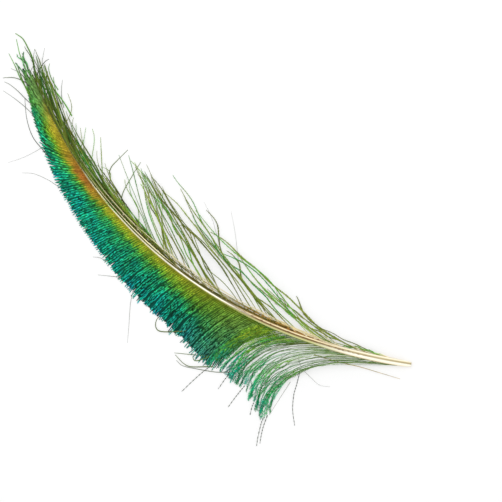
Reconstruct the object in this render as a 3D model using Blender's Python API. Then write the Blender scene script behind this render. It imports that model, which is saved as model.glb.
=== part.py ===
"""A peacock's sword feather, laid flat: a curved shaft with a dense vane on its outer side
and loose, open herls on its inner side.

Metres, +Z up. The quill's end is towards -X and the tip towards +X, and the dense vane is on
the +Y side. The shaft's flat underside lies on z = 0, and the origin is under the middle of
the feather's whole outline.
"""

import math
import random

import bmesh
import bpy
import numpy as np

MM = 0.001
SEED = 11

# All sizes below are in millimetres and all angles in degrees. A place along the shaft is a
# number from 0 at the quill's end to 1 at the shaft's tip.

# Shaft: the control points of its cubic curve, and its width and height along it
SHAFT_CHORD = 282.6
SHAFT_POINTS = ((0.0, 0.0), (92.8, 50.4), (191.6, 54.2), (SHAFT_CHORD, 0.0))
SHAFT_SIZES = (
    # place, width, height
    (0.000, 2.6, 2.2),
    (0.015, 3.7, 3.0),
    (0.050, 4.4, 3.5),
    (0.200, 4.1, 3.2),
    (0.500, 3.2, 2.5),
    (0.750, 2.0, 1.7),
    (0.930, 1.0, 1.0),
    (1.000, 0.5, 0.6),
)
SHAFT_SEGMENTS = 46
# The shaft's section, in widths across and heights up: flat below, a shallow groove on top
SHAFT_SECTION = (
    (-0.28, 0.00), (0.28, 0.00), (0.50, 0.30), (0.46, 0.66),
    (0.25, 1.00), (0.00, 0.86), (-0.25, 1.00), (-0.46, 0.66), (-0.50, 0.30),
)
QUILL_WALL = 0.62           # the hollow in the quill's end, as a share of its section
QUILL_DEPTH = 5.0

# Outer vane: barbs that leave the shaft and bend away from it
OUTER_BARBS = (
    # place, length, angle to the shaft at the root, the same at the tip, lateness of the bend
    (0.025, 96.0, 1.0, 99.0, 2.2),
    (0.060, 92.5, 2.0, 108.0, 1.9),
    (0.120, 74.0, 6.0, 98.0, 1.6),
    (0.200, 55.0, 14.0, 88.0, 1.3),
    (0.280, 46.0, 32.0, 82.0, 1.1),
    (0.360, 36.0, 52.0, 78.0, 0.9),
    (0.450, 30.2, 60.0, 84.0, 0.9),
    (0.550, 26.4, 64.0, 86.0, 0.9),
    (0.650, 22.4, 62.0, 78.0, 0.9),
    (0.750, 18.6, 58.0, 74.0, 0.9),
    (0.780, 18.0, 56.0, 68.0, 1.0),
    (0.810, 18.6, 50.0, 44.0, 1.0),
    (0.840, 22.5, 38.0, 14.0, 1.0),
    (0.880, 27.5, 22.0, 1.0, 1.0),
    (0.930, 28.0, 9.0, 1.0, 1.0),
    (0.970, 27.0, 5.0, 5.0, 1.0),
    (1.000, 27.0, 4.0, 8.0, 1.0),
)
FRINGE_START = 0.025        # the loose locks by the quill
DENSE_START = 0.30          # the closed, ribbed stretch
DENSE_END = 0.92
FRINGE_LOCKS = 14
DENSE_RIBS = 42
TIP_LOCKS = 5
STRAY_BARBS = (
    # place of the lock whose longest barb runs on past the rest, and its course from there
    (0.050, ((49.6, 84.6), (47.0, 90.4), (44.6, 94.8))),
    (0.110, ((58.9, 82.4),)),
    (0.170, ((72.3, 80.0), (72.2, 86.6))),
    (0.230, ((83.5, 81.4),)),
    (0.290, ((97.4, 80.4), (98.8, 87.8), (100.1, 96.0))),
)
STRAY_WIDTH = 0.9
STRAY_THICKNESS = 0.5
STRAY_HEIGHT = 0.1          # height of a stray barb's underside at its tip

# Inner vane: long herls that leave the shaft at a low angle and run towards the tip
INNER_HERLS = (
    # place, x and y of the herl's tip from the quill's end, angle to the shaft at the root
    (0.030, 60.0, 16.8, 6.0),
    (0.065, 81.5, 18.2, 3.0),
    (0.100, 104.5, 16.4, 3.0),
    (0.140, 128.5, 11.0, 9.0),
    (0.180, 150.5, 6.8, 16.0),
    (0.220, 166.0, 4.0, 22.0),
    (0.270, 178.0, 2.2, 27.0),
    (0.330, 187.5, 2.0, 29.0),
    (0.400, 195.0, 3.2, 30.0),
    (0.470, 202.0, 4.2, 29.0),
    (0.540, 209.5, 5.0, 27.0),
    (0.610, 218.5, 6.2, 24.0),
    (0.680, 230.0, 6.8, 21.0),
    (0.740, 240.5, 4.6, 18.0),
    (0.800, 251.0, 0.4, 15.0),
    (0.860, 262.0, -5.2, 13.0),
    (0.920, 276.0, -12.4, 10.0),
    (0.960, 289.0, -17.6, 8.0),
    (0.980, 299.5, -17.2, 6.0),
    (1.000, 309.5, -15.9, 4.0),
)
INNER_START = 0.03
INNER_LOCKS = 28

# Locks and ribs: places along a barb, where its neighbours part from it, and its thickness
COLUMNS = (0.0, 0.15, 0.31, 0.46, 0.60, 0.73, 0.85, 0.94, 1.0)
OUTER_PARTING = (
    # place up to which it holds, number of the last column where neighbours are still joined
    (0.10, 1),
    (0.17, 2),
    (0.24, 4),
    (DENSE_START - 0.01, 6),
    (DENSE_END, 7),
    (1.01, 3),
)
INNER_PARTING = ((0.90, 1), (1.01, 2))
LENGTH_SPREAD = 0.035       # how far barbs of one vane differ in length, as a share
TIP_NARROWING = 0.82        # how much narrower a lock is at its end than where it parts
PARTING_STEP = 0.15         # share of that narrowing at the first column past the parting
RIDGE_THICKNESS = 1.0
EDGE_THICKNESS = 0.55
TIP_THICKNESS = 0.6         # thickness at a lock's end, as a share of that at its root
VANE_SEAT = 0.28            # height of the vane's root on the shaft's side, in shaft heights
OUTER_ARCH = 0.05           # rise of the vane's middle, as a share of its barbs' length
INNER_ARCH = 0.018
FIT_GAP = 0.3               # gap between a vane's root and the shaft


def at_place(table, place):
    """The values of a table's row at a place along the shaft, between its given rows."""
    columns = np.array(table).T
    return [float(np.interp(place, columns[0], column)) for column in columns[1:]]


def shaft_point(place):
    """Centre of the shaft in plan."""
    a, b, c, d = (np.array(point) for point in SHAFT_POINTS)
    rest = 1.0 - place
    return rest**3 * a + 3 * rest**2 * place * b + 3 * rest * place**2 * c + place**3 * d


def shaft_heading(place):
    """Direction of the shaft in plan, in radians from +X."""
    a, b, c, d = (np.array(point) for point in SHAFT_POINTS)
    rest = 1.0 - place
    slope = rest**2 * (b - a) + 2 * rest * place * (c - b) + place**2 * (d - c)
    return math.atan2(slope[1], slope[0])


def direction(angle):
    """Unit vector in plan."""
    return np.array((math.cos(angle), math.sin(angle)))


def vane_root(place, side):
    """Where a barb leaves the shaft: side is +1 for the outer vane and -1 for the inner one."""
    width, _ = at_place(SHAFT_SIZES, place)
    across = direction(shaft_heading(place) + side * math.pi / 2)
    return shaft_point(place) + across * (width / 2 + FIT_GAP)


def outer_barb(place, stretch=1.0):
    """Points along a barb of the outer vane, at COLUMNS."""
    length, root_angle, tip_angle, lateness = at_place(OUTER_BARBS, place)
    steps = 40
    middles = (np.arange(steps) + 0.5) / steps
    bend = np.radians(root_angle + (tip_angle - root_angle) * middles**lateness)
    headings = shaft_heading(place) + bend
    moves = np.stack((np.cos(headings), np.sin(headings)), axis=1) * length * stretch / steps
    path = np.vstack((np.zeros((1, 2)), np.cumsum(moves, axis=0))) + vane_root(place, 1)
    ends = np.linspace(0.0, 1.0, steps + 1)
    return np.stack([np.interp(COLUMNS, ends, path[:, axis]) for axis in (0, 1)], axis=1)


def inner_herl(place, stretch=1.0):
    """Points along a herl of the inner vane, at COLUMNS."""
    tip_x, tip_y, root_angle = at_place(INNER_HERLS, place)
    root = vane_root(place, -1)
    tip = root + (np.array((tip_x, tip_y)) - root) * stretch
    reach = np.linalg.norm(tip - root)
    start = direction(shaft_heading(place) - math.radians(root_angle))
    pull = root + start * 0.45 * reach
    along = np.array(COLUMNS)[:, None]
    return (1 - along)**2 * root + 2 * along * (1 - along) * pull + along**2 * tip


def vane_underside(place, along, arch):
    """Height of a vane's underside: seated on the shaft's side, arched, and down at its edge."""
    _, height = at_place(SHAFT_SIZES, place)
    seat = VANE_SEAT * height * (1.0 - along)**1.5
    return seat + arch * math.sin(math.pi * along)**1.2 * (1.0 - 0.5 * along)


def vane_thickness(place, along, ridge):
    """Thickness of a vane on a ridge or between two, less towards both tips."""
    _, height = at_place(SHAFT_SIZES, place)
    full = RIDGE_THICKNESS if ridge else EDGE_THICKNESS
    return full * (1.0 - (1.0 - TIP_THICKNESS) * along) * min(1.0, 0.35 + height / 2.4)


class Sheet:
    """A closed sheet of quads with an upper and a lower face, and walls round its border."""

    def __init__(self):
        self.lower = []
        self.upper = []
        self.quads = []

    def point(self, place_xy, bottom, thickness):
        x, y = place_xy
        self.lower.append((x * MM, y * MM, bottom * MM))
        self.upper.append((x * MM, y * MM, (bottom + thickness) * MM))
        return len(self.lower) - 1

    def border(self):
        """The directed edges that belong to one quad only."""
        edges = [pair for quad in self.quads for pair in zip(quad, quad[1:] + quad[:1])]
        present = set(edges)
        return [edge for edge in edges if (edge[1], edge[0]) not in present]

    def mesh(self, name):
        count = len(self.lower)
        faces = [tuple(corner + count for corner in quad) for quad in self.quads]
        faces += [tuple(reversed(quad)) for quad in self.quads]
        faces += [(a, b, b + count, a + count) for a, b in self.border()]
        return closed_mesh(name, self.lower + self.upper, faces)


def closed_mesh(name, points, faces):
    """A mesh whose faces all point out."""
    mesh = bpy.data.meshes.new(name)
    mesh.from_pydata(points, [], faces)
    work = bmesh.new()
    work.from_mesh(mesh)
    bmesh.ops.recalc_face_normals(work, faces=work.faces)
    work.to_mesh(mesh)
    work.free()
    return mesh


def material(name, color, roughness):
    made = bpy.data.materials.new(name)
    made.use_nodes = True
    shader = made.node_tree.nodes["Principled BSDF"]
    shader.inputs["Base Color"].default_value = (*color, 1.0)
    shader.inputs["Roughness"].default_value = roughness
    shader.inputs["Metallic"].default_value = 0.0
    return made


def add_part(mesh, look, parent):
    part = bpy.data.objects.new(mesh.name, mesh)
    bpy.context.scene.collection.objects.link(part)
    mesh.materials.append(look)
    part.parent = parent
    return part


def section_ring(place, scale=1.0, back=0.0):
    """Corners of the shaft's section at a place, scaled about its middle."""
    width, height = at_place(SHAFT_SIZES, place)
    centre = shaft_point(place) + direction(shaft_heading(place)) * back
    across = direction(shaft_heading(place) + math.pi / 2)
    corners = []
    for wide, high in SHAFT_SECTION:
        x, y = centre + across * wide * width * scale
        z = height * (0.5 + (high - 0.5) * scale)
        corners.append((x * MM, y * MM, z * MM))
    return corners


def shaft_mesh():
    """The quill and rachis in one sweep, with a shallow hollow in the quill's end."""
    rings = [section_ring(0.0, QUILL_WALL, QUILL_DEPTH), section_ring(0.0, QUILL_WALL)]
    for step in range(SHAFT_SEGMENTS + 1):
        rings.append(section_ring(step / SHAFT_SEGMENTS))
    corners = len(SHAFT_SECTION)
    faces = [tuple(range(corners))]
    for ring in range(len(rings) - 1):
        for corner in range(corners):
            beside = (corner + 1) % corners
            low, high = ring * corners, (ring + 1) * corners
            faces.append((low + corner, low + beside, high + beside, high + corner))
    last = (len(rings) - 1) * corners
    faces.append(tuple(range(last + corners - 1, last - 1, -1)))
    return closed_mesh("shaft", [point for ring in rings for point in ring], faces)


def spread(start, end, count):
    """The first places of count equal steps from start to end."""
    return [start + (end - start) * step / count for step in range(count)]


def edge_row(sheet, path, place, arch, last):
    """Points on the line between two locks, as far as they are joined."""
    return [
        sheet.point(path[k], vane_underside(place, COLUMNS[k], arch),
                    vane_thickness(place, COLUMNS[k], False))
        for k in range(last + 1)
    ]


def free_row(sheet, path, ridge_path, place, arch, first):
    """Points on a lock's own edge past where it parts, drawn in towards its ridge."""
    row = []
    for k in range(first, len(COLUMNS)):
        share = (COLUMNS[k] - COLUMNS[first - 1]) / (1.0 - COLUMNS[first - 1])
        narrowing = TIP_NARROWING * (PARTING_STEP + (1.0 - PARTING_STEP) * share)
        point = path[k] + (ridge_path[k] - path[k]) * narrowing
        bottom = vane_underside(place, COLUMNS[k], arch)
        row.append(sheet.point(point, bottom, vane_thickness(place, COLUMNS[k], False)))
    return row


def ridge_row(sheet, path, place, arch):
    return [
        sheet.point(path[k], vane_underside(place, COLUMNS[k], arch),
                    vane_thickness(place, COLUMNS[k], True))
        for k in range(len(COLUMNS))
    ]


def stray_rows(sheet, course, across):
    """The edges and the ridge of a stray barb, at each point of its course from a lock's end."""
    rows = []
    for last, point in zip(course, course[1:]):
        along = (point - last) / np.linalg.norm(point - last)
        side = np.array((-along[1], along[0])) * STRAY_WIDTH / 2
        side = side * math.copysign(1.0, np.dot(side, across))
        rows.append((
            sheet.point(point + side, STRAY_HEIGHT, STRAY_THICKNESS / 2),
            sheet.point(point, STRAY_HEIGHT, STRAY_THICKNESS),
            sheet.point(point - side, STRAY_HEIGHT, STRAY_THICKNESS / 2),
        ))
    return rows


def vane_mesh(name, barb, arch_share, places, parting, strays=()):
    """A vane of locks side by side, joined from the shaft out to where each pair parts.

    barb gives a barb's path at a place, and parting the last joined column there. strays are
    the places and courses of single barbs that run on past their lock.
    """
    sheet = Sheet()
    chance = random.Random(SEED)
    edges = [barb(place) for place in places]
    arches = [arch_share * np.linalg.norm(edge[-1] - edge[0]) for edge in edges]
    shared = []
    for place, edge, arch in zip(places, edges, arches):
        joined = parting(place) if place not in (places[0], places[-1]) else 0
        shared.append(edge_row(sheet, edge, place, arch, joined))
    for lock in range(len(places) - 1):
        middle = (places[lock] + places[lock + 1]) / 2
        stretch = 1.0 + chance.uniform(-LENGTH_SPREAD, LENGTH_SPREAD)
        path = barb(middle, stretch)
        arch = (arches[lock] + arches[lock + 1]) / 2
        ridge = ridge_row(sheet, path, middle, arch)
        sides = []
        for end in (lock, lock + 1):
            joined = shared[end]
            own_path = edges[end] + (path[-1] - barb(middle)[-1]) * np.array(COLUMNS)[:, None]
            free = free_row(sheet, own_path, path, places[end], arches[end], len(joined))
            sides.append(joined + free)
        rows = list(zip(sides[0], ridge, sides[1]))
        for place, points in strays:
            if places[lock] <= place < places[lock + 1]:
                course = [path[-1]] + [np.array(point) for point in points]
                rows += stray_rows(sheet, course, edges[lock][-1] - edges[lock + 1][-1])
        for near, far in zip(rows, rows[1:]):
            sheet.quads.append((near[0], near[1], far[1], far[0]))
            sheet.quads.append((near[1], near[2], far[2], far[1]))
    return sheet.mesh(name)


def last_joined(table, place):
    """Last joined column between two neighbours at a place: that of the first row past it."""
    return next(column for end, column in table if place < end)


def outer_parting(place):
    return last_joined(OUTER_PARTING, place)


def inner_parting(place):
    return last_joined(INNER_PARTING, place)


def outer_vane_mesh():
    places = spread(FRINGE_START, DENSE_START, FRINGE_LOCKS)
    places += spread(DENSE_START, DENSE_END, DENSE_RIBS)
    places += spread(DENSE_END, 1.0, TIP_LOCKS) + [1.0]
    return vane_mesh("outer_vane", outer_barb, OUTER_ARCH, places, outer_parting, STRAY_BARBS)


def inner_vane_mesh():
    places = spread(INNER_START, 1.0, INNER_LOCKS) + [1.0]
    return vane_mesh("inner_vane", inner_herl, INNER_ARCH, places, inner_parting)


def middle_of(meshes):
    """Middle, in plan, of the box round all the meshes."""
    points = np.array([vertex.co[:2] for mesh in meshes for vertex in mesh.vertices])
    return (points.min(axis=0) + points.max(axis=0)) / 2


def build():
    for old in list(bpy.data.objects):
        bpy.data.objects.remove(old, do_unlink=True)
    shaft = shaft_mesh()
    shaft.shade_smooth()
    shaft.set_sharp_from_angle(angle=math.radians(40))
    meshes = [shaft, outer_vane_mesh(), inner_vane_mesh()]
    looks = [
        material("pale_shaft", (0.80, 0.66, 0.42), 0.45),
        material("teal_barbs", (0.03, 0.30, 0.20), 0.50),
        material("olive_herls", (0.16, 0.22, 0.05), 0.60),
    ]
    feather = bpy.data.objects.new("feather", None)
    bpy.context.scene.collection.objects.link(feather)
    centre = middle_of(meshes)
    feather.location = (-centre[0], -centre[1], 0.0)
    for mesh, look in zip(meshes, looks):
        add_part(mesh, look, feather)


build()
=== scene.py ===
"""The looks of a peacock's sword feather: its shaft, and every barb, barbule, herl and hair.

The curves below are in millimetres and degrees in the feather's own frame, in which the
quill's end is the origin and +X runs along the shaft's chord. They are those of the solids,
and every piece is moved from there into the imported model's frame.
"""

import math

import bpy
import numpy as np
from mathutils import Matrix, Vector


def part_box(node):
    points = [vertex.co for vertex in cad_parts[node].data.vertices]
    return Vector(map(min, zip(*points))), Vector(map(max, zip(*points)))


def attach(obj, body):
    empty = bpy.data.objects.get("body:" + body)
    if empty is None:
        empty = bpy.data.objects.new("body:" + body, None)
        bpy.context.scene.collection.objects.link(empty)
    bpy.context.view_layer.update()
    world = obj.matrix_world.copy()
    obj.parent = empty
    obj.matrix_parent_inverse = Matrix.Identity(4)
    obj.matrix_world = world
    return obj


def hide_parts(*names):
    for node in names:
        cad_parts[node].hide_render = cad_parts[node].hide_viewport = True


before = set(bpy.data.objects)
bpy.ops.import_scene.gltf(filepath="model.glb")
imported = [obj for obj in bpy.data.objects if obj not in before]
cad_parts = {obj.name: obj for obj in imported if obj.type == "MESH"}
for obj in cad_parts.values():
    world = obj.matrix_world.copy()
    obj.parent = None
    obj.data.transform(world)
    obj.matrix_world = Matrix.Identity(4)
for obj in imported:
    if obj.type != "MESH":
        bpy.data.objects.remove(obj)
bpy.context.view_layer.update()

MM = 0.001
SEED = 23
BODY = "root"

# ---- Curves of the solids ----
# A place along the shaft runs from 0 at the quill's end to 1 at its tip.

SHAFT_POINTS = ((0, 0), (92.8, 50.4), (191.6, 54.2), (282.6, 0))
SHAFT_LENGTH = 296.6
SHAFT_SIZES = (
    # place, width, height
    (0.000, 2.6, 2.2),
    (0.015, 3.7, 3),
    (0.050, 4.4, 3.5),
    (0.200, 4.1, 3.2),
    (0.500, 3.2, 2.5),
    (0.750, 2, 1.7),
    (0.930, 1, 1),
    (1.000, 0.5, 0.6),
)
SECTION_SQUARENESS = 0.8    # 1 is an ellipse, and less is nearer a box
QUILL_WALL = 0.62
QUILL_DEPTH = 5
OUTER_BARBS = (
    # place, length, angle to the shaft at the root, the same at the tip, lateness of the bend
    (0.025, 96, 1, 99, 2.2),
    (0.060, 92.5, 2, 108, 1.9),
    (0.120, 74, 6, 98, 1.6),
    (0.200, 55, 14, 88, 1.3),
    (0.280, 46, 32, 82, 1.1),
    (0.360, 36, 52, 78, 0.9),
    (0.450, 30.2, 60, 84, 0.9),
    (0.550, 26.4, 64, 86, 0.9),
    (0.650, 22.4, 62, 78, 0.9),
    (0.750, 18.6, 58, 74, 0.9),
    (0.780, 18, 56, 68, 1),
    (0.810, 18.6, 50, 44, 1),
    (0.840, 22.5, 38, 14, 1),
    (0.880, 27.5, 22, 1, 1),
    (0.930, 28, 9, 1, 1),
    (0.970, 27, 5, 5, 1),
    (1.000, 27, 4, 8, 1),
)
INNER_HERLS = (
    # place, x and y of the herl's tip from the quill's end, angle to the shaft at the root
    (0.030, 60, 16.8, 6),
    (0.065, 81.5, 18.2, 3),
    (0.100, 104.5, 16.4, 3),
    (0.140, 128.5, 11, 9),
    (0.180, 150.5, 6.8, 16),
    (0.220, 166, 4, 22),
    (0.270, 178, 2.2, 27),
    (0.330, 187.5, 2, 29),
    (0.400, 195, 3.2, 30),
    (0.470, 202, 4.2, 29),
    (0.540, 209.5, 5, 27),
    (0.610, 218.5, 6.2, 24),
    (0.680, 230, 6.8, 21),
    (0.740, 240.5, 4.6, 18),
    (0.800, 251, 0.4, 15),
    (0.860, 262, -5.2, 13),
    (0.920, 276, -12.4, 10),
    (0.960, 289, -17.6, 8),
    (0.980, 299.5, -17.2, 6),
    (1.000, 309.5, -15.9, 4),
)
HERL_PULL = 0.45            # how far along a herl its middle control point lies
VANE_SEAT = 0.28
OUTER_ARCH = 0.05
INNER_ARCH = 0.018
FIT_GAP = 0.3               # gap between the solids' shaft and the roots of their vanes

# ---- What the looks add ----

STEPS = 48                  # steps along every barb and herl
STEP_SHARES = np.linspace(0, 1, STEPS + 1)

FLANK_COVER = (
    # place, how far the outer barbs' roots lie in over the shaft's flank, in mm
    (0.20, 0),
    (0.30, 0.3),
    (0.40, 0.6),
    (0.50, 0.7),
    (0.60, 0.6),
    (0.70, 0.5),
    (0.80, 0.6),
    (0.90, 0.4),
    (1.00, 0.2),
)
FLANK_REACH = 6             # length along a barb over which it comes out from the flank
INNER_INSET = 0.3           # how far the herls' roots lie inside the shaft's flank
OFFSET_GROWTH = 14          # length over which a herl beside the shaft moves out to its offset
LEAST_ROOT_ANGLE = 1

# Where the vane's colour passes through each of its stops, in mm from the shaft
COLOUR_BANDS = (
    # place, gold, yellow-green, grass green, emerald, teal
    (0.10, -30, -6, 32, 95, 160),
    (0.20, -20, 0, 26, 72, 130),
    (0.28, -22, -3, 17, 42, 80),
    (0.32, -14, 2.5, 18, 28, 52),
    (0.36, -9, 4.5, 17, 28, 50),
    (0.40, -7, 5, 14.5, 23, 46),
    (0.45, -4, 7, 12, 18.5, 40),
    (0.50, -2.5, 6.2, 9.2, 14.5, 36),
    (0.55, -1.5, 5.2, 7.5, 13, 36),
    (0.60, -1, 4.8, 6.4, 12.5, 34),
    (0.65, -0.5, 4.4, 5.7, 11.5, 32),
    (0.70, 0.5, 4.5, 5.5, 10.5, 30),
    (0.75, 2.3, 4.5, 5.5, 9.6, 23),
    (0.80, 3.2, 4.8, 5.9, 10, 20),
    (0.85, 3, 5.3, 6.8, 11, 18),
    (0.90, 2, 5.4, 7, 10.5, 17),
    (0.95, -1, 1.6, 4, 9, 20),
    (1.00, -12, -7, 10, 60, 110),
)
VANE_TONES = (
    # place, brightness of the gold band and of the greens
    (0.30, 0.78, 0.90),
    (0.40, 0.92, 1.06),
    (0.50, 1.05, 1.12),
    (0.60, 1.36, 1.32),
    (0.66, 1.36, 1.38),
    (0.70, 1.08, 1.38),
    (0.75, 0.90, 1.48),
    (0.80, 0.86, 1.66),
    (0.84, 0.78, 1.40),
    (0.88, 1.00, 1.05),
    (0.92, 1.10, 0.95),
    (0.95, 1.10, 1.10),
    (1.00, 1.10, 1.20),
)
WARM_PLACE = 0.79           # middle of the orange stretch of the gold band
WARM_REACH = 0.052          # and how far it spreads along the shaft

# Single hairs and strands, root first: width, colour from dark grey to tan, and control points
STRANDS = (
    # stray hairs of the outer vane
    (0.20, 0.10, ((253, 24.3), (255.6, 30.8), (259.9, 40), (265.9, 49))),
    (0.26, 0.15, ((228.3, 38), (232.3, 41.8), (240.6, 42.7), (249.5, 44.9), (255.6, 48.8))),
    (0.26, 0.20, ((161.7, 60), (157, 71), (149.4, 83), (143.7, 92))),
    (0.34, 0.15, ((170, 62.4), (172, 64), (177.2, 67.1), (182.3, 70.2))),
    (0.36, 0.20, ((182.6, 59.6), (183.5, 60.6), (187.5, 61.3), (191.2, 63.4))),
    (0.55, 0.05, (
        (236.9, 30.7), (245.9, 31.7), (253, 30.3), (263.3, 27.6), (272.7, 21.1), (280.9, 12.2),
    )),
    (0.45, 0.10, ((243, 27), (252, 26.6), (263, 22.5), (272, 15.5), (279.5, 7))),
    # the tip's strands
    (0.85, 0.85, (
        (272, 8), (279, 4), (287.2, 1), (292.6, -3.2), (299.5, -7.4), (306.5, -13.3),
    )),
    (1.05, 0.72, (
        (274, 0.5), (283.2, -2.6), (292.2, -10.1), (298, -13.4), (303.7, -15.8), (309, -15.7),
    )),
    (0.70, 0.80, ((283, 7), (290.4, 4), (296.3, 0.6), (300.6, -1.6), (305, -3.7))),
    (1.10, 0.68, ((277, 10), (281, 8.2), (285.7, 5.9), (290.6, 3), (297.5, -1.8))),
    (0.60, 0.35, ((282, 3.8), (288.9, 4.5), (293.4, 5.9), (297, 8.4), (299, 10.2))),
    (0.45, 0.30, ((281, 6), (286, 4), (291.7, 1.6), (298.6, 2.7))),
    (0.50, 0.30, ((275, 12.5), (281.2, 11.9), (287.3, 11), (293, 10.8), (296.9, 11.5))),
    (0.36, 0.25, ((270, 17), (278.6, 16), (287, 15.8), (294.2, 16.2))),
    (0.62, 0.05, ((281, 0.5), (284.1, -5.2), (284.6, -8.7), (284.6, -13.1), (283.6, -15.5))),
    (0.34, 0.30, ((286, -5), (290.3, -9.4), (292.3, -11.7), (293.9, -14.9))),
    (0.34, 0.30, ((281, -8), (285.5, -11.3), (287.5, -14.8), (289.7, -19.2))),
    (0.60, 0.75, ((268, -4), (273.9, -6.3), (277.9, -8.7), (280.6, -11.2), (281.7, -13.7))),
    (0.60, 0.75, ((261, 1.5), (267.9, -2), (272.7, -6.1), (275.2, -8.6))),
    (0.40, 0.25, ((259, 2.5), (263.7, -1.8), (267, -5.9), (269.7, -10.5))),
    (0.40, 0.15, ((283, 2.5), (286.4, -0.2), (287.9, -2.9), (288.7, -6.1))),
    (0.80, 0.80, ((252, 3.5), (260.4, 0), (268.2, -2.3), (276.4, -4.4), (283.9, -6.4))),
    # stray herls of the inner vane
    (0.20, 0.25, ((130, 20), (135.2, 12.1), (141.3, 7), (149.5, 1.1), (157.9, -3))),
    (0.20, 0.25, ((112, 21), (121.7, 11), (132.2, 0.1), (141.7, -8.5))),
    (0.75, 0.52, (
        (188, 31), (199.5, 24.5), (211.6, 19.4), (214.7, 14.2), (214.3, 7.9), (213.1, -0.5),
    )),
    (0.60, 0.60, ((190, 32), (199, 24.2), (201.7, 9.7), (202.5, 0.5))),
    # hooked ends at the start of the closed vane
    (0.75, 0.50, (
        (120, 65), (123.4, 68.3), (131.6, 74.5), (135.7, 74.3), (138, 70.4), (137.3, 65.9),
    )),
    (0.70, 0.50, ((94, 72.5), (97.8, 75.5), (104.5, 80.5), (109.2, 81.7), (116.4, 80.6))),
    (0.50, 0.35, ((84.2, 69.2), (90.8, 74.2), (101.1, 79.6), (108.9, 83.1), (113.9, 82.8))),
    (0.70, 0.60, ((99.5, 69), (100.9, 71.4), (104, 75.7), (106.1, 76.1), (107.6, 74.7))),
    (0.60, 0.60, ((98, 68), (100.7, 69.6), (109.5, 75.1), (117.6, 80))),
    # thin hairs by the quill
    (0.24, 0.35, ((51.5, 52), (50.7, 62.5), (49.8, 75.4))),
    (0.22, 0.30, ((56, 38), (50.5, 41.4), (43.3, 42.5), (36.6, 43), (30.7, 40.1))),
    (0.50, 1.00, ((50, 30.4), (35.4, 24.9), (23.6, 19.7), (11.8, 15.3), (0.1, 11))),
)
# Beaded ends of the longest barbs, root first
BEADED_HAIRS = (
    ((51.2, 78), (51, 81), (49.6, 84.6), (47, 90.4), (44.6, 94.8)),
    ((61.6, 75), (60.9, 77.7), (58.9, 82.4)),
    ((72, 70), (72.2, 74.8), (72.3, 80), (72.2, 86.6)),
    ((83.4, 70), (83.8, 74.2), (83.5, 81.4)),
    ((95.4, 71), (96, 74.9), (97.4, 80.4), (98.8, 87.8), (100.1, 96)),
    ((50.5, 76), (48.6, 82.4), (46.6, 87.2), (43.9, 92.4)),
    ((50.5, 43.8), (47.7, 50.6), (45, 57.3), (40.1, 64.8), (33.7, 71.3)),
)


# ---- Curves ----

def at_places(table, places):
    """Each value of a table's rows at many places, between the given rows."""
    columns = np.array(table, float).T
    return [np.interp(places, columns[0], column) for column in columns[1:]]


def unit(angles):
    return np.stack((np.cos(angles), np.sin(angles)), axis=-1)


def eased(values, first, last):
    """0 up to first, 1 from last on, and a smooth rise between them."""
    share = np.clip((values - first) / (last - first), 0, 1)
    return share * share * (3 - 2 * share)


def for_each(values):
    """One value for each strand, as a column."""
    return np.asarray(values, float)[:, None]


def shaft_xy(places):
    a, b, c, d = (np.array(point) for point in SHAFT_POINTS)
    t = np.asarray(places, float)[..., None]
    rest = 1 - t
    return rest**3 * a + 3 * rest**2 * t * b + 3 * rest * t**2 * c + t**3 * d


def shaft_heading(places):
    a, b, c, d = (np.array(point) for point in SHAFT_POINTS)
    t = np.asarray(places, float)[..., None]
    rest = 1 - t
    slope = rest**2 * (b - a) + 2 * rest * t * (c - b) + t**2 * (d - c)
    return np.arctan2(slope[..., 1], slope[..., 0])


def vane_roots(places, side, inset):
    """Where barbs leave the shaft: side is +1 for the outer vane and -1 for the inner one."""
    width, _ = at_places(SHAFT_SIZES, places)
    across = unit(shaft_heading(places) + side * math.pi / 2)
    return shaft_xy(places) + across * (width / 2 - inset)[..., None]


def place_and_distance(paths):
    """The nearest place on the shaft to each point of the paths, and the distance to it."""
    places = np.linspace(0, 1, 401)
    line = shaft_xy(places)
    nearest = np.empty(paths.shape[:2], int)
    for step in range(paths.shape[1]):
        apart = np.linalg.norm(paths[:, step, None] - line[None], axis=-1)
        nearest[:, step] = apart.argmin(axis=1)
    return places[nearest], np.linalg.norm(paths - line[nearest], axis=-1)


def outer_paths(places, stretch, turn):
    """Barbs of the outer vane in plan, as an array of (barb, step, xy)."""
    length, root, tip, late = at_places(OUTER_BARBS, places)
    middles = (np.arange(STEPS) + 0.5) / STEPS
    bend = root[:, None] + (tip - root)[:, None] * middles ** late[:, None]
    bend = np.radians(bend + np.outer(turn, middles))
    headings = shaft_heading(places)[:, None] + bend
    moves = unit(headings) * (length * stretch / STEPS)[:, None, None]
    start = vane_roots(places, 1, -FIT_GAP)[:, None, :]
    paths = np.concatenate((start, start + np.cumsum(moves, axis=1)), axis=1)
    return paths + over_flank(places, lengths_along(paths))


def over_flank(places, along):
    """How far barbs lie in over the shaft's outer flank, close to their roots."""
    cover, = at_places(FLANK_COVER, places)
    inset = (cover + FIT_GAP)[:, None] * (1 - eased(along, 0, FLANK_REACH))
    return unit(shaft_heading(places) - math.pi / 2)[:, None, :] * inset[..., None]


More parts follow.
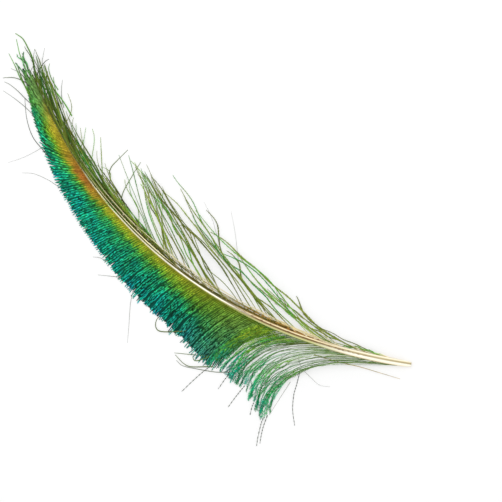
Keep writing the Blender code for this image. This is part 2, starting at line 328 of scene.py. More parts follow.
def inner_paths(places, stretch, aside, turn):
    """Herls of the inner vane in plan. aside moves a tip across its herl, in millimetres."""
    tip_x, tip_y, angle = at_places(INNER_HERLS, places)
    root = vane_roots(places, -1, INNER_INSET)
    reach = np.stack((tip_x, tip_y), axis=-1) - root
    length = np.linalg.norm(reach, axis=-1, keepdims=True)
    side = np.stack((-reach[:, 1], reach[:, 0]), axis=-1) / length
    tip = root + reach * stretch[:, None] + side * aside[:, None]
    leaving = np.maximum(angle + turn, LEAST_ROOT_ANGLE)
    start = unit(shaft_heading(places) - np.radians(leaving))
    pull = root + start * HERL_PULL * length * stretch[:, None]
    u = STEP_SHARES[None, :, None]
    root, pull, tip = root[:, None], pull[:, None], tip[:, None]
    return (1 - u)**2 * root + 2 * u * (1 - u) * pull + u**2 * tip


def along_shaft(places, offsets):
    """Points at an offset to the shaft's inner side. A place past 1 runs on straight."""
    inside = np.minimum(places, 1)
    heading = shaft_heading(inside)
    line = shaft_xy(inside) + unit(heading) * ((places - inside) * SHAFT_LENGTH)[..., None]
    return line + unit(heading - math.pi / 2) * offsets[..., None]


def beside_shaft(places, offsets, lengths, spread):
    """Herls that run along the shaft's inner side, at offsets that grow from nothing."""
    along = STEP_SHARES[None, :] * lengths[:, None]
    offset = offsets[:, None] * (1 - np.exp(-along / OFFSET_GROWTH))
    offset = offset + spread[:, None] * STEP_SHARES[None, :]**2
    return along_shaft(places[:, None] + along / SHAFT_LENGTH, offset)


def underside(places, arch):
    """Height of a vane's underside along its barbs."""
    _, height = at_places(SHAFT_SIZES, places)
    u = STEP_SHARES[None, :]
    seat = VANE_SEAT * height[:, None] * (1 - u)**1.5
    rise = np.clip(np.sin(np.pi * u), 0, 1)**1.2 * (1 - 0.5 * u)
    return seat + arch[:, None] * rise


def shaft_top(places, distance):
    """Height of the shaft's surface at a distance from its middle line."""
    width, height = at_places(SHAFT_SIZES, places)
    share = np.clip(distance / (width / 2), 0, 1)
    power = 2 / SECTION_SQUARENESS
    top = height * (0.5 + 0.5 * (1 - share**power)**(1 / power))
    return np.where(share < 1, top, 0)


def lengths_along(paths):
    """Distance along each path at each of its steps."""
    steps = np.linalg.norm(np.diff(paths, axis=1), axis=-1)
    return np.concatenate((np.zeros((len(paths), 1)), np.cumsum(steps, axis=1)), axis=1)


def reaches(paths):
    return np.linalg.norm(paths[:, -1] - paths[:, 0], axis=-1)


def sideways(paths):
    """Unit vectors to the left of the paths."""
    slope = np.gradient(paths, axis=1)
    across = np.stack((-slope[..., 1], slope[..., 0]), axis=-1)
    return across / np.maximum(np.linalg.norm(across, axis=-1, keepdims=True), 1e-9)


def clumps(count, sizes, chance):
    """A clump's number for each of count barbs in a row. sizes are the fewest and the most."""
    numbers = []
    while len(numbers) < count:
        number = numbers[-1] + 1 if numbers else 0
        numbers += [number] * int(chance.integers(sizes[0], sizes[1] + 1))
    return np.array(numbers[:count])


def gathered(paths, groups, pull):
    """The paths drawn towards the middle of their clump. pull is the share of the way there."""
    counts = np.bincount(groups)
    middles = np.stack([
        np.bincount(groups, paths[:, step, axis]) / counts
        for step in range(STEPS + 1) for axis in (0, 1)
    ], axis=-1).reshape(len(counts), STEPS + 1, 2)
    return paths + (middles[groups] - paths) * np.asarray(pull)[..., None]


def waved(paths, size, waves, chance):
    """The paths swayed sideways, more towards their ends. size is in millimetres."""
    u = STEP_SHARES[None, :]
    count = len(paths)
    phase = chance.uniform(0, 2 * np.pi, (count, 1))
    number = chance.uniform(waves[0], waves[1], (count, 1))
    sizes = for_each(size * chance.normal(0, 1, count))
    sway = sizes * np.sin(phase + 2 * np.pi * number * u) * u
    return paths + sideways(paths) * sway[..., None]


def cut_short(paths, shares):
    """The first part of each path, up to a share of its length."""
    at = for_each(shares * STEPS) * STEP_SHARES[None, :]
    step = np.minimum(at.astype(int), STEPS - 1)
    part = (at - step)[..., None]
    rows = np.arange(len(paths))[:, None]
    return paths[rows, step] * (1 - part) + paths[rows, step + 1] * part


def curve_through(points, count):
    """A smooth curve through given points, as count + 1 points."""
    points = np.array(points, float)
    ends = np.vstack((2 * points[0] - points[1], points, 2 * points[-1] - points[-2]))
    at = np.linspace(0, len(points) - 1.0001, count + 1)
    span = at.astype(int)
    t = (at - span)[:, None]
    a, b, c, d = (ends[span + k] for k in range(4))
    cubic = 3 * b - a - 3 * c + d
    square = 2 * a - 5 * b + 4 * c - d
    return 0.5 * (2 * b + (c - a) * t + square * t**2 + cubic * t**3)


def some(share, count, chance):
    """True for a random share of count barbs."""
    return chance.uniform(0, 1, count) < share


def ranged(count, chance, **spans):
    """Values for count barbs, each drawn between the two ends of its span."""
    return {name: chance.uniform(*span, count) for name, span in spans.items()}


def spaced(first, last, count, chance, jitter):
    """Places in a row, each moved by up to jitter of the space between them."""
    steps = np.arange(count) + 0.5 + chance.uniform(-jitter, jitter, count)
    return first + (last - first) * steps / count


# ---- Strands: paths in plan with a height, a width and marks for the materials at each step ----

def strands(paths, **values):
    made = {"paths": paths}
    for name, value in values.items():
        made[name] = np.broadcast_to(value, paths.shape[:2])
    return made


def joined(*sets):
    return {key: np.concatenate([one[key] for one in sets]) for key in sets[0]}


def marks_of(one):
    return {name: value for name, value in one.items() if name not in ("paths", "height", "width")}


# ---- Meshes ----

def row_shift():
    """From the feather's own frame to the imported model's, read off the shaft's box."""
    low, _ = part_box("shaft")
    half = SHAFT_SIZES[0][1] / 2
    heading = float(shaft_heading(0))
    x = low.x / MM + half * math.sin(heading)
    y = low.y / MM + half * math.cos(heading)
    return np.array((x, y, 0))


SHIFT = row_shift()
CELL_CORNERS = np.array(((0.0, 0.0), (1.0, 0.0), (1.0, 1.0), (0.0, 1.0)))
CELL_MARGIN = 0.08
LOWEST = 0.03               # no barbule dips below this height
WIDEST = 0.45               # where a barbule is widest, as a share of its length
FOLD_DEPTH = 0.15           # fold of a barbule, as a share of its width
BEAD = 1.15                 # length along a barb that has one brightness


def bare_mesh(name, points, faces, marks):
    """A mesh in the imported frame, with its marks as attributes."""
    mesh = bpy.data.meshes.new(name)
    mesh.from_pydata((points + SHIFT) * MM, [], faces)
    for mark, values in marks.items():
        layer = mesh.attributes.new(mark, "FLOAT", "POINT")
        layer.data.foreach_set("value", np.asarray(values, np.float32).ravel())
    return mesh


def add_cells(mesh, cell_of_corner, place_in_cell):
    """A bake map with a square of its own for each cell."""
    across = math.ceil(math.sqrt(cell_of_corner.max() + 1))
    cell = np.stack((cell_of_corner % across, cell_of_corner // across), axis=-1)
    inside = CELL_MARGIN + (1 - 2 * CELL_MARGIN) * place_in_cell
    bake_map = mesh.uv_layers.new(name="OFBake")
    bake_map.uv.foreach_set("vector", ((cell + inside) / across).astype(np.float32).ravel())


# Slot and node of each vane's pieces
OUTER = ("outer_barbs", "outer_vane")
INNER = ("inner_herls", "inner_vane")


def linked(name, data):
    """A new object in the scene."""
    made = bpy.data.objects.new(name, data)
    bpy.context.scene.collection.objects.link(made)
    return made


def add_piece(mesh, look, slot, *nodes):
    piece = linked(mesh.name, mesh)
    mesh.materials.append(look)
    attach(piece, BODY)
    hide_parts(*nodes)


def wall_quads(index):
    """Quads round tubes, from the numbers of their points as an array of (tube, ring, point)."""
    a, b = index[:, :-1], index[:, 1:]
    return np.stack((a, b, np.roll(b, -1, axis=2), np.roll(a, -1, axis=2)), axis=-1).reshape(-1, 4)


def tube_mesh(name, one, depth, every=2):
    """Three-sided tubes with a ridge on top, along strands.

    depth is the ridge's height as a share of the width, and every is how many steps a ring spans.
    """
    kept = {key: value[:, ::every] for key, value in one.items()}
    paths, heights, widths = kept["paths"], kept["height"], kept["width"]
    half = sideways(paths) * widths[..., None] / 2
    left = np.concatenate((paths + half, heights[..., None]), axis=-1)
    right = np.concatenate((paths - half, heights[..., None]), axis=-1)
    ridge = np.concatenate((paths, (heights + widths * depth)[..., None]), axis=-1)
    points = np.stack((left, right, ridge), axis=2)
    tubes, steps = paths.shape[:2]
    index = np.arange(tubes * steps * 3).reshape(tubes, steps, 3)
    sides = wall_quads(index)
    caps = np.concatenate((index[:, 0], index[:, -1, ::-1]))
    marks = {mark: np.repeat(values.reshape(-1), 3) for mark, values in marks_of(kept).items()}
    mesh = bare_mesh(name, points.reshape(-1, 3), sides.tolist() + caps.tolist(), marks)
    side_cells = np.repeat(np.arange(len(sides)), 4)
    cap_cells = np.repeat(np.arange(len(caps)) + len(sides), 3)
    in_sides = np.tile(CELL_CORNERS, (len(sides), 1))
    in_caps = np.tile(CELL_CORNERS[:3], (len(caps), 1))
    add_cells(mesh, np.concatenate((side_cells, cap_cells)), np.concatenate((in_sides, in_caps)))
    return mesh


def blade_mesh(name, blades):
    """Barbules as kites folded along their length."""
    heading = unit(blades["heading"])
    side = np.stack((-heading[:, 1], heading[:, 0]), axis=-1)
    base = blades["xy"]
    low = blades["height"]
    length = blades["length"]
    rise = length * np.sin(blades["tilt"])
    lean = blades["width"] / 2 * np.tan(blades["roll"])
    fold = blades["width"] * FOLD_DEPTH
    wide = side * blades["width"][:, None] / 2
    middle = base + heading * (WIDEST * length)[:, None]
    tip = base + heading * length[:, None]
    corners = np.stack((
        np.column_stack((base, low)),
        np.column_stack((middle - wide, low + WIDEST * rise - lean - fold)),
        np.column_stack((tip, low + rise)),
        np.column_stack((middle + wide, low + WIDEST * rise + lean - fold)),
    ), axis=1)
    corners[..., 2] = np.maximum(corners[..., 2], LOWEST)
    count = len(base)
    index = np.arange(count * 4).reshape(count, 4)
    faces = np.stack((index[:, (0, 1, 2)], index[:, (0, 2, 3)]), axis=1).reshape(-1, 3)
    marks = {mark: np.repeat(values, 4) for mark, values in blades["marks"].items()}
    mesh = bare_mesh(name, corners.reshape(-1, 3), faces.tolist(), marks)
    in_cells = np.tile(CELL_CORNERS[[0, 1, 2, 0, 2, 3]], (count, 1))
    add_cells(mesh, np.repeat(np.arange(count), 6), in_cells)
    return mesh


def barbules(one, spacing, chance, shape, start=0.03, end=1, spread=4):
    """Barbules on both sides of each strand, from start to end, as shares of its length.

    shape gives their length, width and angle, and spread is how much the angles vary, in degrees.
    Each takes its strand's marks, and a bead: a random number that it shares with its neighbours.
    """
    paths = one["paths"]
    along = lengths_along(paths)
    slope = np.gradient(paths, axis=1)
    run = np.unwrap(np.arctan2(slope[..., 1], slope[..., 0]), axis=1)
    read = {"x": paths[..., 0], "y": paths[..., 1], "run": run, "along": along}
    read.update({name: value for name, value in one.items() if name not in ("paths", "width")})
    steps = np.arange(STEPS + 1)
    parts = []
    for number, length in enumerate(along[:, -1]):
        count = max(int(length * (end - start) / spacing), 1)
        for side in (1, -1):
            beads = chance.uniform(0, 1, int(length / BEAD) + 3)
            phase = chance.uniform(0, 1)
            u = start + (end - start) * (np.arange(count) + chance.uniform(0, 0.9, count)) / count
            part = {name: np.interp(u * STEPS, steps, value[number]) for name, value in read.items()}
            part["u"] = u
            part["side"] = np.full(count, side)
            part["bead"] = beads[(part["along"] / BEAD + phase).astype(int)]
            parts.append(part)
    every = {key: np.concatenate([part[key] for part in parts]) for key in parts[0]}
    count = len(every["u"])
    length, width, angle = shape(every)
    return {
        "xy": np.column_stack((every["x"], every["y"])),
        "height": every["height"],
        "heading": every["run"] + every["side"] * np.radians(chance.normal(angle, spread)),
        "length": length * chance.uniform(0.8, 1.2, count),
        "width": width * chance.uniform(0.85, 1.15, count),
        "tilt": np.radians(chance.normal(5, 5, count)),
        "roll": np.radians(chance.normal(0, 14, count)),
        "bead": every["bead"],
        "marks": {name: every[name] for name in marks_of(one)},
    }


def add_barbules(blades, look, slot_and_node, *names):
    """The barbules dealt out in turn to one piece or to several."""
    parts = len(names)
    for part, name in enumerate(names):
        own = {key: values[part::parts] for key, values in blades.items() if key != "marks"}
        own["marks"] = {mark: values[part::parts] for mark, values in blades["marks"].items()}
        add_piece(blade_mesh(name, own), look, *slot_and_node)


# The bright beads are painted glints on the barbules and the dark ones painted shade between them
BEAD_TONES = (
    # bead, brightness of its barbules
    (0.00, 0.15),
    (0.20, 0.40),
    (0.35, 1.00),
    (0.70, 1.25),
    (0.85, 1.80),
    (1.00, 2.30),
)
DARKEST = 0.08


def glints_and_shade(blades, contrast, chance):
    """Brightness of single barbules in beads: painted glints, painted shade and their own random tone.
    """
    tone, = at_places(BEAD_TONES, blades["bead"] + chance.normal(0, 0.06, len(blades["bead"])))
    return np.maximum(1 + (tone - 1) * contrast, DARKEST)


# ---- Materials ----

def linear(code):
    """A screen colour such as #a08c3c as linear red, green, blue and 1."""
    parts = [int(code[k:k + 2], 16) / 255 for k in (1, 3, 5)]
    return (*[p / 12.92 if p <= 0.04045 else ((p + 0.055) / 1.055)**2.4 for p in parts], 1)


class Look:
    """A material and short calls that add and link its nodes."""

    def __init__(self, name, roughness, metallic=0.0, specular=0.5):
        self.material = bpy.data.materials.new(name)
        self.material.use_nodes = True
        self.tree = self.material.node_tree
        self.shader = self.tree.nodes["Principled BSDF"]
        values = {"Roughness": roughness, "Metallic": metallic, "Specular IOR Level": specular}
        for socket, value in values.items():
            self.shader.inputs[socket].default_value = value

    def node(self, kind, inputs, **settings):
        made = self.tree.nodes.new("ShaderNode" + kind)
        for setting, value in settings.items():
            setattr(made, setting, value)
        for socket, value in inputs.items():
            self.feed(made.inputs[socket], value)
        return made

    def feed(self, socket, value):
        if isinstance(value, bpy.types.NodeSocket):
            self.tree.links.new(value, socket)
        else:
            socket.default_value = value

    def mark(self, name):
        return self.node("Attribute", {}, attribute_name=name).outputs["Fac"]

    def math(self, operation, a, b):
        return self.node("Math", {0: a, 1: b}, operation=operation).outputs[0]

    def plus(self, a, b):
        return self.math("ADD", a, b)

    def times(self, a, b):
        return self.math("MULTIPLY", a, b)

    def remap(self, value, low, high, to_low=0, to_high=1):
        inputs = {"Value": value, "From Min": low, "From Max": high}
        inputs.update({"To Min": to_low, "To Max": to_high})
        return self.node("MapRange", inputs).outputs["Result"]

    def vector(self, x, y, z=0):
        return self.node("CombineXYZ", {"X": x, "Y": y, "Z": z}).outputs["Vector"]

    def ramp(self, factor, stops):
        made = self.node("ValToRGB", {"Fac": factor})
        elements = made.color_ramp.elements
        while len(elements) < len(stops):
            elements.new(0.5)
        for element, (place, code) in zip(elements, stops):
            element.position = place
            element.color = linear(code)
        return made.outputs["Color"]

    def mix(self, factor, a, b):
        made = self.node("Mix", {"Factor": factor}, data_type="RGBA")
        colors = [socket for socket in made.inputs if socket.type == "RGBA"]
        self.feed(colors[0], a)
        self.feed(colors[1], b)
        return next(socket for socket in made.outputs if socket.type == "RGBA")

    def scaled(self, color, amount):
        made = self.node("VectorMath", {"Scale": amount}, operation="SCALE")
        self.feed(made.inputs[0], color)
        return made.outputs[0]

    def noise(self, scale, detail=2, vector=None):
        if vector is None:
            vector = self.node("TexCoord", {}).outputs["Object"]
        inputs = {"Vector": vector, "Scale": scale, "Detail": detail}
        return self.node("TexNoise", inputs).outputs["Fac"]

    def color(self, value):
        self.feed(self.shader.inputs["Base Color"], value)
        return self.material


TEAL = 4                    # the hue mark is 0 for gold, then 1 and 2 for greens and 3 for emerald


def barb_look():
    """Iridescent barbs, from gold by the shaft through green and emerald to teal."""
    look = Look("iridescent_barbs", roughness=0.42, metallic=0.3, specular=0.08)
    patch = look.remap(look.noise(130), 0.3, 0.7, -0.09, 0.09)
    patch = look.times(patch, look.remap(look.mark("hue"), 1.5, 2.5, 0.3, 1))
    hue = look.plus(look.math("DIVIDE", look.mark("hue"), TEAL), patch)
    base = look.ramp(hue, (
        (0.00, "#b5a82e"), (0.10, "#9fa428"), (0.25, "#6f9a28"), (0.37, "#568a28"),
        (0.50, "#3b8a3c"), (0.62, "#238a50"), (0.75, "#128662"), (0.88, "#0a8070"),
        (1.00, "#0a7683"),
    ))
    warm = look.mix(look.mark("warm"), base, linear("#b87430"))
    greyed = look.mix(look.mark("pale"), warm, linear("#828c78"))
    cloud = look.remap(look.noise(190), 0.3, 0.7, 0.82, 1.22)
    return look.color(look.scaled(greyed, look.times(look.mark("tone"), cloud)))


def herl_look():
    """Long herls: cream stems at the shaft, then olive to grass green."""
    look = Look("herls", roughness=0.5, metallic=0.1, specular=0.1)
    green = look.ramp(look.mark("lot"), (
        (0.00, "#39401a"), (0.25, "#6a7a2a"), (0.50, "#86a040"), (0.75, "#64a03c"),
        (1.00, "#3c9048"),
    ))
    varied = look.mix(look.remap(look.noise(160), 0.4, 0.7, 0, 0.7), green, linear("#858a3c"))
    color = look.mix(look.mark("pale"), varied, linear("#f0e4bc"))
    specks = look.remap(look.noise(520), 0.40, 0.56)
    brown = look.mix(specks, linear("#52390f"), linear("#b07c32"))
    browned = look.mix(look.mark("brown"), color, brown)
    return look.color(look.scaled(browned, look.mark("tone")))


def hair_look():
    """Stray hairs and strands: dark grey, grey, olive, green and tan."""
    look = Look("stray_hairs", roughness=0.5, specular=0.15)
    base = look.ramp(look.mark("lot"), (
        (0.00, "#333d30"), (0.30, "#7c8276"), (0.45, "#6f7a4c"), (0.60, "#5f7a2c"),
        (0.85, "#6cb844"), (1.00, "#c9b27c"),
    ))
    varied = look.mix(look.remap(look.noise(260), 0.35, 0.65, 0, 0.45), base, linear("#39472a"))
    return look.color(varied)


SHAFT_VIEW = 2.2            # the bands' colours run this far to each side of the middle, in mm


def shaft_bands(look, place, across):
    """Colours across the shaft, from its inner side outwards. They change along its length."""
    quill = look.ramp(across, (
        (0.02, "#c4ad7c"), (0.12, "#fffae6"), (0.26, "#e8dab2"), (0.37, "#a8986c"),
        (0.47, "#c0b28a"), (0.60, "#fffbe9"), (0.82, "#fff4da"), (0.95, "#c9b98c"),
    ))
    drift = look.remap(place, 0.20, 0.30, 0, -0.07)
    low = look.ramp(look.plus(across, drift), (
        (0.02, "#6a4a18"), (0.10, "#7c5820"), (0.19, "#b8945a"), (0.26, "#fff4cc"),
        (0.33, "#f0d8a0"), (0.38, "#7a5420"), (0.52, "#6a5a22"), (0.60, "#b0a868"),
        (0.75, "#d0d090"), (0.86, "#7c8a44"),
    ))
    middle = look.ramp(across, (
        (0.12, "#46401a"), (0.34, "#4a4a1c"), (0.40, "#7a743c"), (0.43, "#fff8d8"),
        (0.51, "#ffffff"), (0.58, "#fff8d8"), (0.62, "#a8a456"), (0.72, "#848a34"),
    ))
    upper = look.ramp(across, (
        (0.26, "#a8a468"), (0.34, "#5c5626"), (0.41, "#6f6a34"), (0.44, "#fbf3c8"),
        (0.51, "#ffffee"), (0.57, "#fbf0b8"), (0.61, "#a89c3e"), (0.72, "#98902e"),
    ))
    tip = look.ramp(across, (
        (0.38, "#4a4a18"), (0.50, "#565a1c"), (0.56, "#8c8c2c"), (0.62, "#b0a53a"),
    ))
    bands = quill
    stretches = ((0.12, 0.20, low), (0.32, 0.40, middle), (0.52, 0.60, upper), (0.77, 0.81, tip))
    for start, full, stretch in stretches:
        bands = look.mix(look.remap(place, start, full), bands, stretch)
    return bands


def groove_dashes(look, place, across, offset):
    """Where the groove of the shaft's lower part has its brown dashes."""
    stretched = look.vector(look.times(offset, 2.2), look.times(place, 150))
    dashes = look.remap(look.noise(1, 2, stretched), 0.50, 0.62)
    fades = ((place, 0.06, 0.12), (place, 0.42, 0.34), (across, 0.30, 0.36), (across, 0.62, 0.54))
    for value, none, full in fades:
        dashes = look.times(dashes, look.remap(value, none, full))
    return dashes


def shaft_look():
    """Horn-coloured shaft: cream ridges, a tan groove and a brown inner flank, streaked."""
    look = Look("shaft_keratin", roughness=0.36, specular=0.45)
    offset = look.mark("offset")
    place = look.mark("place")
    top = look.mark("top")
    stretched = look.vector(look.times(offset, 6), look.times(place, 26), look.times(top, 3))
    grain = look.noise(1, 4, stretched)
    moved = look.plus(offset, look.remap(grain, 0.3, 0.7, -0.12, 0.12))
    across = look.remap(moved, -SHAFT_VIEW, SHAFT_VIEW)
    dashes = groove_dashes(look, place, across, offset)
    body = look.mix(dashes, shaft_bands(look, place, across), linear("#6e4a1a"))
    body = look.mix(top, linear("#d8c191"), body)
    return look.color(look.scaled(body, look.remap(grain, 0.25, 0.75, 0.88, 1.10)))


FLOOR_GREY = 0.5
FLOOR_GLOW = 0.43           # the floor is lit a little from below, as a light table is


def floor_look():
    look = Look("pale_floor", roughness=0.9, specular=0.1)
    look.shader.inputs["Emission Color"].default_value = (1.0, 1.0, 1.0, 1.0)
    look.shader.inputs["Emission Strength"].default_value = FLOOR_GLOW
    return look.color((FLOOR_GREY, FLOOR_GREY, FLOOR_GREY, 1))


# ---- The shaft ----

SHAFT_SIDES = 28
SHAFT_RINGS = 220
GROOVE_DEPTH = 0.16
GROOVE_HALF_WIDTH = 0.16


def shaft_section():
    """The shaft's section, in widths across and heights up, with a groove along its top."""
    turn = 2 * np.pi * np.arange(SHAFT_SIDES) / SHAFT_SIDES
    cos, sin = np.cos(turn), np.sin(turn)
    wide = 0.5 * np.sign(cos) * np.abs(cos)**SECTION_SQUARENESS
    high = 0.5 + 0.5 * np.sign(sin) * np.abs(sin)**SECTION_SQUARENESS
    groove = GROOVE_DEPTH * np.exp(-(wide / GROOVE_HALF_WIDTH)**2) * (sin > 0.3)
    return wide, high - groove


def shaft_rings():
    """Places and scales of the shaft's rings, from the bottom of its hollow to its tip."""
    places = np.concatenate(((0, 0), np.linspace(0, 1, SHAFT_RINGS + 1)))
    scale = np.ones(len(places))
    scale[:2] = QUILL_WALL
    depth = np.zeros(len(places))
    depth[0] = QUILL_DEPTH
    return places, scale, depth


def make_shaft():
    wide, high = shaft_section()
    places, scale, depth = shaft_rings()
    width, height = at_places(SHAFT_SIZES, places)
    heading = shaft_heading(places)
    centre = shaft_xy(places) + unit(heading) * depth[:, None]
    across = unit(heading + np.pi / 2)
    offsets = wide * for_each(width * scale)
    xy = centre[:, None] + across[:, None] * offsets[..., None]
    z = for_each(height) * (0.5 + (high - 0.5) * for_each(scale))
    points = np.concatenate((xy, z[..., None]), axis=-1).reshape(-1, 3)
    rings = len(places)
    index = np.arange(rings * SHAFT_SIDES).reshape(1, rings, SHAFT_SIDES)
    faces = wall_quads(index)[:, ::-1].tolist()
    faces += [index[0, 0].tolist(), index[0, -1, ::-1].tolist()]
    marks = {
        "offset": offsets,
        "place": np.repeat(places, SHAFT_SIDES),
        "top": np.tile(eased(high, 0.1, 0.4), rings),
    }
    mesh = bare_mesh("shaft_with_quill", points, faces, marks)
    mesh.shade_smooth()
    add_piece(mesh, shaft_look(), "shaft_keratin", "shaft")


# ---- The outer vane ----

DENSE = (0.272, 1)          # places of the closed vane
TIP_LOOSE = 0.90            # past this place its barbs part
BARBS = 158
BARB_WIDTH = 0.30
UNEVEN = (
    # place, how much the closed vane's barbs vary in length, as a share of it
    (0.30, 0.045),
    (0.45, 0.022),
    (0.60, 0.008),
)
STRIPS = 180
STRIPS_END = 0.95
STRIP_WIDTH = 1.75


def colour_marks(paths, jitter):
    """Hue and orange share along barbs, from the colour bands beside the shaft."""
    places, distance = place_and_distance(paths)
    distance = distance + jitter
    stops = at_places(COLOUR_BANDS, places)
    hue = sum(np.clip((distance - a) / (b - a), 0, 1) for a, b in zip(stops, stops[1:]))
    near = 1 - eased(distance, 2.4, 5.4)
    warm = 0.95 * np.exp(-((places - WARM_PLACE) / WARM_REACH)**2) * near
    return {"hue": hue, "warm": warm}


def golden(hue):
    """1 in the gold band and 0 in the greens."""
    return 1 - eased(hue, 0, 2)


def lit(places, hue):
    """Brightness of the closed vane at places along the shaft."""
    gold, green = at_places(VANE_TONES, places)
    return green + (gold - green) * golden(hue)


def calm(places):
    """0 in the streaky wide part of the vane and at the tip, and 1 in its even, narrow part."""
    return eased(places, 0.50, 0.70) * (1 - eased(places, 0.88, 0.94))


def laid(paths, places, lift):
    """Heights of outer barbs: on the vane's underside, and over the shaft's flank."""
    heights = underside(places, OUTER_ARCH * reaches(paths)) + lift
    at, distance = place_and_distance(paths)
    return np.maximum(heights, shaft_top(at, distance) + 0.05)


def dense_shade_strips(chance, look):
    """Wide dark strips below the barbs that close the gaps between them: painted shade, seen in those
    gaps.
    """
    u = STEP_SHARES[None, :]
    places = spaced(DENSE[0], STRIPS_END, STRIPS, chance, 0.2)
    reach = 0.955 + 0.02 * calm(places) + chance.normal(0, 0.014, STRIPS)
    paths = outer_paths(places, reach, np.zeros(STRIPS))
    width = STRIP_WIDTH * (0.8 + 0.2 * eased(u, 0, 0.2)) * (1 - 0.4 * eased(u, 0.8, 1))
    width = width * for_each(0.4 + 0.6 * eased(places, DENSE[0], DENSE[0] + 0.07))
    colours = colour_marks(paths, for_each(chance.normal(0, 0.8, STRIPS)))
    # painted shade: the strips' dark tone, a little lighter in the vane's even part and in the gold
    # band
    dark = for_each(chance.uniform(0.16, 0.34, STRIPS) * (1 + 0.5 * calm(places)))
    tone = (dark + 0.35 * golden(colours["hue"])) * lit(for_each(places), colours["hue"])
    height = laid(paths, places, 0.12)
    one = strands(paths, height=height, width=width, pale=0, tone=tone, **colours)
    add_piece(tube_mesh("outer_shade_strips", one, 0.10, 3), look, *OUTER)


def dense_barbs(chance):
    """Barbs of the closed vane: clumped in its wide part, even in its narrow one, loose at the tip."""
    u = STEP_SHARES[None, :]
    places = spaced(*DENSE, BARBS, chance, 0.16)
    groups = clumps(BARBS, (3, 5), chance)
    loose = eased(places, TIP_LOOSE, TIP_LOOSE + 0.06)
    uneven, = at_places(UNEVEN, places)
    stretch = 1 + uneven * chance.normal(0, 1, groups.max() + 1)[groups]
    stretch += uneven * chance.normal(0, 1, BARBS)
    shortened = np.where(some(0.8, BARBS, chance), chance.uniform(0.1, 0.7, BARBS), 0)
    stretch *= 1 - loose * shortened
    paths = outer_paths(places, stretch, loose * chance.normal(2, 11, BARBS))
    even = calm(places)
    pull = (0.16 * eased(u, 0, 0.25) + 0.12 * eased(u, 0.7, 1)) * for_each(1 - 0.85 * even)
    paths = gathered(paths, groups, pull)
    paths = waved(paths, 0.30 - 0.16 * even, (1.2, 3.5), chance)
    height = laid(paths, places, 0.3 + for_each(chance.uniform(0, 0.3, BARBS)))
    marks = colour_marks(paths, for_each(chance.normal(0, 0.4, BARBS)))
    marks["tone"] = for_each(chance.normal(1, 0.15, BARBS)) * lit(for_each(places), marks["hue"])
    pale = 0.28 * eased(places, 0.86, 0.96) + 0.18 * (1 - eased(places, 0.30, 0.45))
    marks["pale"] = for_each(pale)
    marks["calm"] = for_each(even)
    return strands(paths, height=height, width=BARB_WIDTH, **marks)


def make_dense_vane(chance, look):
    dense_shade_strips(chance, look)
    one = dense_barbs(chance)
    thinning = 1 - 0.9 * eased(STEP_SHARES[None, :], 0.3, 0.8)
    stems = dict(one, width=one["width"] * thinning)
    del stems["calm"]
    add_piece(tube_mesh("outer_barb_stems", stems, 0.5, 3), look, *OUTER)

    def shape(at):
        length = np.interp(at["u"], (0, 0.15, 0.8, 1), (0.9, 1.4, 1.4, 1))
        width = np.interp(at["u"], (0, 0.2, 1), (0.26, 0.32, 0.28))
        angle = np.interp(at["u"], (0, 0.3, 1), (12, 14, 13))
        return length, width, angle

    blades = barbules(one, 0.27, chance, shape)
    marks = blades["marks"]
    # The painted glints and shade stand out less in the gold band and in pale barbs
    contrast = (1.25 - 0.15 * marks.pop("calm")) * (1 - 0.45 * golden(marks["hue"]))
    contrast = contrast * (1 - 1.2 * marks["pale"])
    marks["tone"] = marks["tone"] * glints_and_shade(blades, contrast, chance)
    marks["hue"] = chance.normal(marks["hue"], 0.10)
    add_barbules(blades, look, OUTER, "outer_barbules_1", "outer_barbules_2")


FRINGE = (0.025, 0.310)     # places of the loose barbs by the quill
OPEN_END = 0.20             # they are open up to this place, and closer from there on
OPEN_BARBS = 48
CLOSER_BARBS = 47
FRINGE_TURNS = (
    # place, how much the loose barbs' directions vary, in degrees
    (0.03, 0.8),
    (0.12, 3.8),
    (0.25, 7.5),
)
FRINGE_SWINGS = (
    # place, how far the loose barbs swing out at most, in mm
    (0.03, 8),
    (0.07, 5),
    (0.13, 0),
)


def fringe_places(chance):
    """Places of the loose barbs, and 1 for those in the open part down to 0 in the closer one."""
    places = np.concatenate((
        spaced(FRINGE[0], OPEN_END, OPEN_BARBS, chance, 0.8),
        spaced(OPEN_END, FRINGE[1], CLOSER_BARBS, chance, 0.5),
    ))
    return places, for_each(1 - eased(places, 0.17, 0.26))


def fringe_paths(places, open_share, chance):
    """Loose barbs in plan, some of them cut short, and how far each swings out."""
    count = len(places)
    u = STEP_SHARES[None, :]
    groups = clumps(count, (2, 5), chance)
    short = some(0.35, count, chance)
    shares = np.where(short, chance.uniform(0.60, 0.95, count), chance.uniform(0.96, 1, count))
    turn, = at_places(FRINGE_TURNS, places)
    turn = turn * chance.normal(0, 1, count)
    paths = cut_short(outer_paths(places, np.ones(count), turn), shares)
    swing, = at_places(FRINGE_SWINGS, places)
    swing = swing * chance.uniform(0, 1, count)**1.5
    paths = paths + sideways(paths) * (for_each(swing) * np.sin(np.pi * u))[..., None]
    paths = gathered(paths, groups, (0.65 - 0.45 * open_share) * eased(u, 0.4, 0.9))
    return waved(waved(paths, 1.1, (0.8, 2.4), chance), 0.25, (6, 12), chance), swing


def fringe_barbs(chance):
    """Loose barbs that are paler near the shaft, most of all where they are open and swing out."""
    u = STEP_SHARES[None, :]
    places, open_share = fringe_places(chance)
    count = len(places)
    paths, swing = fringe_paths(places, open_share, chance)
    height = laid(paths, places, 0.2 + for_each(chance.uniform(0, 0.9, count)))
    pale = 0.02 + 0.22 * open_share + 0.05 * for_each(swing)
    pale = pale * (1 - eased(u, 0.4, 0.75))
    width = 0.24 * (1 - 0.45 * u)
    tone = for_each(chance.choice((0.55, 0.8, 1.05, 1.35), count)) * (0.9 + 0.2 * open_share)
    marks = colour_marks(paths, for_each(chance.uniform(-13, 7, count)))
    marks.update(pale=pale, tone=tone, open=open_share)
    return strands(paths, height=height, width=width, **marks)


